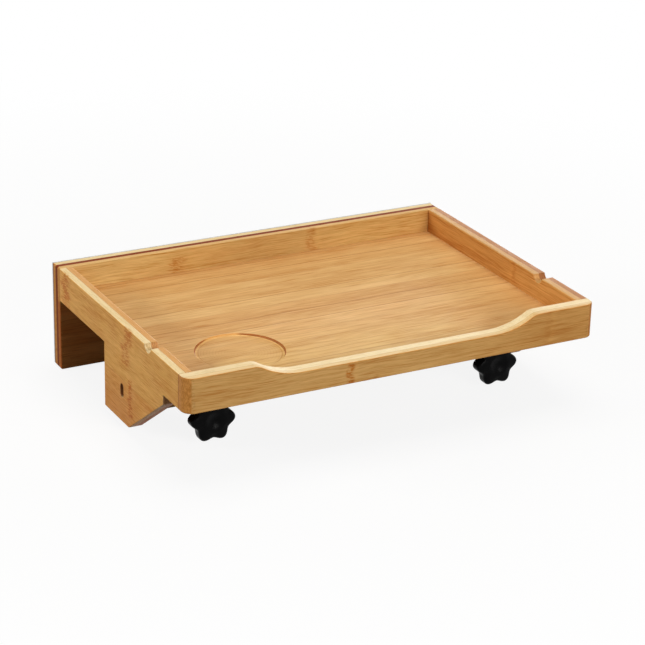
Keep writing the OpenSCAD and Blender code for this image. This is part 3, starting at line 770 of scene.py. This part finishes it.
side_cuts = [("x", -INNER_X), ("x", INNER_X)]
for node, name, body, wood, radius, cuts in (
    ("tray_floor", "floor_panel", "tray", floor_wood, floor_radius, ()),
    ("front_board", "front_rim_board", "tray", front_wood, front_radius, side_cuts),
    ("left_side_board", "left_rim_board", "tray", left_wood, side_radius, ()),
    ("right_side_board", "right_rim_board", "tray", right_wood, side_radius, ()),
    ("back_board", "tall_back_board", "tray", back_wood, back_radius, side_cuts + [("z", 0.0)]),
    ("clamp_bar", "cross_bar", "tray", bar_wood, block_radius(TIGHT, 2.0, 0.9), ()),
    ("clamp_jaw", "sliding_jaw", "jaw", jaw_wood, block_radius(0.9, 1.0, 0.3), ()),
):
    piece = board(node, name, wood, radius, cuts)
    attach(piece, body)
    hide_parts(node)


def felt_pad(name, x, z, face_y, thick, seed):
    """A sheet of felt glued to a board: soft rounded edge, lower corners rounded, faintly uneven surface.
    x and z are (low, high) in mm, and the felt grows from face_y towards +Y."""
    soft, corner = 0.9, 1.5  # radii of the edge and of the lower corners
    rng = np.random.default_rng(seed)
    # each wave's two wave numbers, its phase and its height in mm
    spans = (0.02, 0.16), (0.02, 0.16), (0, 6.28), (0.01, 0.035)
    waves = [[rng.uniform(*span) for span in spans] for _ in range(9)]

    def ticks(low, high, step):
        fringe = [0.0, 0.12, 0.35, soft]
        middle = np.linspace(low + soft, high - soft, max(3, int((high - low) / step)))[1:-1]
        return [low + d for d in fringe] + list(middle) + [high - d for d in reversed(fringe)]

    xs, zs = ticks(*x, 6.0), ticks(*z, 5.0)

    def surface(px, pz):
        d = min(px - x[0], x[1] - px, pz - z[0], z[1] - pz)
        if pz < z[0] + corner:
            for cx, side in ((x[0] + corner, -1), (x[1] - corner, 1)):
                dx, dz = (px - cx) * side, z[0] + corner - pz
                if dx > 0:
                    reach = math.hypot(dx, dz)
                    if reach > corner:
                        px, pz = cx + side * dx * corner / reach, z[0] + corner - dz * corner / reach
                    d = corner - min(reach, corner)
        d = min(max(d, 0.0), soft)
        drop = soft - math.sqrt(max(0.0, soft * soft - (soft - d) ** 2))
        uneven = sum(a * math.sin(fx * px + fz * pz + p) for fx, fz, p, a in waves) * d / soft
        return px, face_y + thick - drop - abs(uneven), pz

    bm = bmesh.new()
    grid = [[bm.verts.new(mm(*surface(px, pz))) for pz in zs] for px in xs]
    for i in range(len(xs) - 1):
        for j in range(len(zs) - 1):
            bm.faces.new((grid[i][j], grid[i][j + 1], grid[i + 1][j + 1], grid[i + 1][j]))
    rim = [row[0] for row in grid] + grid[-1][1:] + [row[-1] for row in grid[-2::-1]] + grid[0][-2:0:-1]
    foot = [bm.verts.new((v.co.x, mm(face_y), v.co.z)) for v in rim]
    bridge(bm, rim, foot)
    bm.faces.new(foot[::-1])
    bmesh.ops.remove_doubles(bm, verts=bm.verts, dist=1e-6)
    bmesh.ops.recalc_face_normals(bm, faces=bm.faces)
    return finish_mesh(mesh_of(bm, name), name, felt, sharp=60.0, weighted=False)


INSET = 0.1  # mm by which a sheet of felt stays inside its CAD solid's outline
for name, node, body, half_w, top, face_y, thick, seed in (
    ("back_felt_lining", "back_pad", "tray", HALF_W, RIM_H, BACK_T, 2.45, 5),
    ("jaw_felt_facing", "jaw_pad", "jaw", JAW_HALF_W, JAW_TOP_Z, JAW_REAR_Y, 2.95, 6),
):
    x, z = (INSET - half_w, half_w - INSET), (LOW_Z + INSET, top - INSET)
    piece = felt_pad(name, x, z, face_y, thick, seed)
    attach(piece, body)
    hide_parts(node)


def turned(name, material, rings, x, steps=96, sharp=38.0):
    """A piece turned about the line along Y at x and the screws' height. rings are (radius, y) in mm, from
    the front centre round to the back. A radius may be a function of the angle, and 0 closes the piece."""
    bm = bmesh.new()
    rows = []
    for radius, y in rings:
        if radius == 0:
            rows.append([bm.verts.new(mm(x, y, SCREW_Z))])
            continue
        row = []
        for i in range(steps):
            a = 2 * math.pi * i / steps
            r = radius(a) if callable(radius) else radius
            row.append(bm.verts.new(mm(x + r * math.cos(a), y, SCREW_Z + r * math.sin(a))))
        rows.append(row)
    for first, second in zip(rows, rows[1:]):
        if len(first) == len(second):
            bridge(bm, first, second)
            continue
        tip, ring = sorted((first, second), key=len)
        for i in range(steps):
            bm.faces.new((*tip, ring[i], ring[(i + 1) % steps]))
    if len(rows[0]) > 1 and len(rows[-1]) > 1:
        bridge(bm, rows[-1], rows[0])
    bmesh.ops.recalc_face_normals(bm, faces=bm.faces)
    return finish_mesh(mesh_of(bm, name), name, material, sharp=sharp)


def corner_arc(cx, cy, r, start, end, count=4):
    """(radius, y) points round a fillet's centre, from angle start to end in degrees: 0 points outwards and
    90 along +Y."""
    angles = [math.radians(start + (end - start) * i / count) for i in range(count + 1)]
    return [(cx + r * math.cos(a), cy + r * math.sin(a)) for a in angles]


KNOB_R, HOLLOW, LOBES, LOBE_T, DOME, KNOB_H, BOSS_R = 21.0, 4.2, 6, 11.0, 2.0, 24.0, 8.5
SOCKET_R, SOCKET_DEPTH = 4.03, 16.5


def knob(name, x, turn):
    """A six-lobe star knob, turned by an angle in degrees: soft lobes, a domed front with a shallow dimple,
    and a boss with a bored socket."""
    def lobe(a, inset=0.0):
        return KNOB_R - HOLLOW / 2 * (1 - math.cos(LOBES * (a - math.radians(turn)))) - inset

    soft, rear = 3.2, 2.2  # radii of the lobes' front and rear edges
    dome_r = (KNOB_R ** 2 + DOME ** 2) / (2 * DOME)

    def dome(r):
        return LOBE_Y - DOME + dome_r - math.sqrt(dome_r ** 2 - r * r)

    rim, dimple, foot = 10.5, 3.2, 10.4
    rings = [(0, dome(0) + dimple)]
    for share in (0.2, 0.4, 0.55, 0.7, 0.8, 0.9, 1.0):
        r = rim * share
        rings.append((r, dome(r) + dimple * (math.cos(math.pi * share) + 1) / 2))
    for share in (0.25, 0.5, 0.75, 1.0):
        def ring(a, share=share):
            return rim + (lobe(a, soft) - rim) * share
        rings.append((ring, dome(rim + (KNOB_R - soft - rim) * share)))
    edge_y = rings[-1][1] + soft
    for i in range(1, 6):
        t = math.pi / 2 * i / 5
        rings.append((lambda a, t=t: lobe(a, soft * (1 - math.sin(t))), edge_y - soft * math.cos(t)))
    rear_y, end_y = LOBE_Y + LOBE_T, LOBE_Y + KNOB_H
    rings.append((lobe, (edge_y + rear_y - rear) / 2))
    for i in range(5):
        t = math.pi / 2 * i / 4
        rings.append((lambda a, t=t: lobe(a, rear * (1 - math.cos(t))), rear_y - rear + rear * math.sin(t)))
    rings.append((lambda a: foot + (lobe(a, rear) - foot) * 0.5, rear_y))
    rings += corner_arc(BOSS_R + 1.6, rear_y + 1.6, 1.6, 270, 180)
    rings += corner_arc(BOSS_R - 0.9, end_y - 0.9, 0.9, 0, 90)
    socket_y = end_y - SOCKET_DEPTH
    rings += [(4.4, end_y), (SOCKET_R, end_y - 0.4), (SOCKET_R, socket_y), (0, socket_y)]
    return turned(name, knob_black, rings, x, steps=144, sharp=50.0)


def threaded_screw(name, x):
    """The clamp screw: a rolled 8 mm thread with runouts, a plain end in the knob, and the journal that the
    jaw turns on."""
    bolt, root, journal, foot, steps = 3.98, 3.28, 2.5, 3.22, 28
    start, end, tip_y = BOSS_Y + 1.0, SHOULDER_Y - 1.8, -48.5
    core = [(0, BOSS_Y - 16), (3.6, BOSS_Y - 16), (bolt, BOSS_Y - 15.6), (bolt, BOSS_Y + 0.6),
            (root + 0.03, start + 0.2), (root + 0.03, end - 0.2), (bolt, end + 0.4), (bolt, SHOULDER_Y - 0.5),
            (3.6, SHOULDER_Y), (journal, SHOULDER_Y), (journal, tip_y - 0.46), (2.1, tip_y), (0, tip_y)]
    piece = turned(name, zinc, core, x, steps=56, sharp=30.0)
    bm = bmesh.new()
    bm.from_mesh(piece.data)
    # the ridge's section along Y, from its foot over the crest to the other foot; it closes inside the core
    section = [(-0.52, foot), (-0.13, bolt), (0.13, bolt), (0.52, foot)]
    total, runout = int((end - start) / PITCH * steps), steps * 0.6
    last = None
    for k in range(total + 1):
        a = 2 * math.pi * k / steps
        fade = max(0.05, min(1.0, k / runout, (total - k) / runout))
        row = []
        for dy, r in section:
            r = foot + (r - foot) * fade
            row.append(bm.verts.new(mm(x + r * math.sin(a), start + PITCH * k / steps + dy,
                                       SCREW_Z + r * math.cos(a))))
        if last:
            bridge(bm, last, row)
        else:
            bm.faces.new(row)
        last = row
    bm.faces.new(last)
    bmesh.ops.recalc_face_normals(bm, faces=bm.faces)
    bm.to_mesh(piece.data)
    bm.free()
    piece.data.shade_smooth()
    piece.data.set_sharp_from_angle(angle=math.radians(30))
    return piece


def washer(name, x, front, thick, outer, inner):
    """A flat washer with rounded outer edges and a chamfered hole."""
    edge, chamfer = min(0.3, thick / 3), 0.15
    rear = front + thick
    rings = [(inner + chamfer, front)]
    rings += corner_arc(outer - edge, front + edge, edge, 270, 360, 3)
    rings += corner_arc(outer - edge, rear - edge, edge, 0, 90, 3)
    rings += [(inner + chamfer, rear), (inner, rear - chamfer), (inner, front + chamfer)]
    return turned(name, zinc, rings, x, steps=72)


def thread_insert(name, x):
    """The flanged insert in the clamp bar: a rounded flange at the rear, a chamfered mouth and thread lines
    in the bore."""
    front, rear = INSERT_FRONT_Y, INSERT_REAR_Y
    body, flange, lip, edge, bore = 5.0, 7.0, rear - 1.5, 0.45, 4.07
    rings = [(body - 0.3, front), (body, front + 0.3), (body, lip), (flange - 0.1, lip)]
    rings += corner_arc(flange - edge, rear - edge, edge, 0, 90, 3)
    rings += [(4.75, rear), (4.15, rear - 0.6)]
    y = rear - 0.6
    while y > front + 1.0:
        rings += [(bore, y - 0.3), (4.3, y - 0.625), (bore, y - 0.95)]
        y -= PITCH
    rings += [(4.3, front)]
    return turned(name, zinc, rings, x, steps=64, sharp=30.0)


for side, x, turn in (("left", -SCREW_X, -0.5), ("right", SCREW_X, 1.0)):
    body = side + "_screw"
    for piece, node, rides, slot in (
        (knob(side + "_star_knob", x, turn), side + "_knob", body, "knob_plastic"),
        (threaded_screw(side + "_threaded_screw", x), side + "_clamp_screw", body, "zinc_steel"),
        (washer(side + "_pressure_washer", x, front=SHOULDER_Y, thick=1.6, outer=8.0, inner=2.55),
         side + "_thrust_washer", "jaw", "zinc_steel"),
        (thread_insert(side + "_flanged_insert", x), side + "_thread_insert", "tray", "zinc_steel"),
    ):
        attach(piece, rides)
        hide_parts(node)

# CAD solids that are shown themselves, with their edges eased
for node, material in (
    ("bar_screws", black_oxide), ("bar_dowels", dowel_wood), ("corner_dowels", dowel_wood),
    ("back_board_screws", zinc), ("left_pocket_washer", zinc), ("right_pocket_washer", zinc),
    ("left_lock_nut", zinc), ("right_lock_nut", zinc),
):
    piece = nodes[node]
    piece.data.materials.clear()
    piece.data.materials.append(material)
    bevel = piece.modifiers.new("eased", "BEVEL")
    bevel.limit_method = "ANGLE"
    bevel.angle_limit = math.radians(40)
    bevel.width = mm(0.2)
    bevel.segments = 2


# ---- floor, light and camera ----

GROUND_Z = -68.6  # mm, just below the object


def seen_as_white(g):
    """1 for rays that see the background itself, and 1 for the camera's rays alone."""
    rays = g.add("ShaderNodeLightPath").outputs
    seen = g.plus(rays["Is Camera Ray"], rays["Is Glossy Ray"], rays["Is Transmission Ray"])
    return g.clamp(seen), rays["Is Camera Ray"]


def ground_material():
    """Pale matt ground that keeps the object's shadow and is white further out. It is clear from below,
    so that the underside can be looked at."""
    material, g, shader = new_material("pale_ground", Roughness=0.9, Specular_IOR_Level=0.1)
    seen, from_camera = seen_as_white(g)
    g.put(shader.inputs["Base Color"], g.mix(seen, (0.12, 0.11, 0.1, 1.0), (0.85, 0.85, 0.85, 1.0)))
    x, y = g.split(g.add("ShaderNodeTexCoord").outputs["Object"])[:2]
    reach = g.math("SQRT", g.plus(g.times(x, x), g.times(y, y)))
    white = g.times(seen, g.ease(reach, 0.3, 0.9, 0.88, 1.0))
    ground = g.blend(white, shader.outputs[0], g.add("ShaderNodeEmission").outputs[0])
    below = g.times(g.add("ShaderNodeNewGeometry").outputs["Backfacing"], from_camera)
    ground = g.blend(below, ground, g.add("ShaderNodeBsdfTransparent").outputs[0])
    g.put(material.node_tree.nodes["Material Output"].inputs["Surface"], ground)
    return material


def add_ground():
    bm = bmesh.new()
    bmesh.ops.create_grid(bm, x_segments=4, y_segments=4, size=8.0)
    for vert in bm.verts:
        vert.co.z = mm(GROUND_Z)
    mesh = mesh_of(bm, "ground")
    mesh.materials.append(ground_material())
    return added("ground", mesh)


def studio_world():
    """White where it is seen, and a weak even light on the object."""
    world = bpy.data.worlds.new("studio")
    world.use_nodes = True
    g = Graph(world.node_tree)
    background = world.node_tree.nodes["Background"]
    background.inputs["Color"].default_value = (1, 1, 1, 1)
    seen = seen_as_white(g)[0]
    g.put(background.inputs["Strength"], g.plus(0.12, g.times(seen, 0.88)))
    return world


def area_light(name, place, size, power, aim=(0, -0.13, 0)):
    """A rectangular softbox, a little warm, that faces the point aim."""
    data = bpy.data.lights.new(name, "AREA")
    data.shape = "RECTANGLE"
    data.size, data.size_y = size
    data.energy = power
    data.color = (1.0, 0.985, 0.96)
    lamp = added(name, data)
    lamp.location = place
    lamp.rotation_mode = "QUATERNION"
    lamp.rotation_quaternion = (Vector(aim) - Vector(place)).to_track_quat("-Z", "Y")


def photo_camera():
    """The photograph's camera. Its lens, place, azimuth, elevation and roll were solved from the object's
    straight edges."""
    data = bpy.data.cameras.new("photo_camera")
    data.lens = 127.69
    data.sensor_width = 36.0
    data.sensor_fit = "HORIZONTAL"
    data.clip_start, data.clip_end = 0.05, 50
    camera = added("photo_camera", data)
    place = mm(-906.97, -1816.31, 787.48)
    az, el, roll = (math.radians(a) for a in (-28.339, 22.516, 1.437))
    back = Vector((math.sin(az) * math.cos(el), -math.cos(az) * math.cos(el), math.sin(el)))
    right = Vector((math.cos(az), math.sin(az), 0))
    up = back.cross(right)
    axes = (right * math.cos(roll) + up * math.sin(roll), up * math.cos(roll) - right * math.sin(roll), back)
    camera.matrix_world = Matrix.Translation(place) @ Matrix(axes).transposed().to_4x4()
    return camera


ground = add_ground()
scene.world = studio_world()
area_light("overhead_softbox", (0.1, -0.1, 2.0), (1.6, 1.4), 24.4)
area_light("front_softbox", (0.3, -2.57, 0.89), (1.1, 0.5), 35.0)
area_light("left_softbox", (-2.44, 0.6, 0.89), (1.2, 0.5), 35.0)
area_light("rear_fill", (1.7, 2.0, 0.3), (1.2, 0.5), 26.0, aim=(0, -0.1, -0.02))
scene.camera = photo_camera()

bpy.context.view_layer.update()
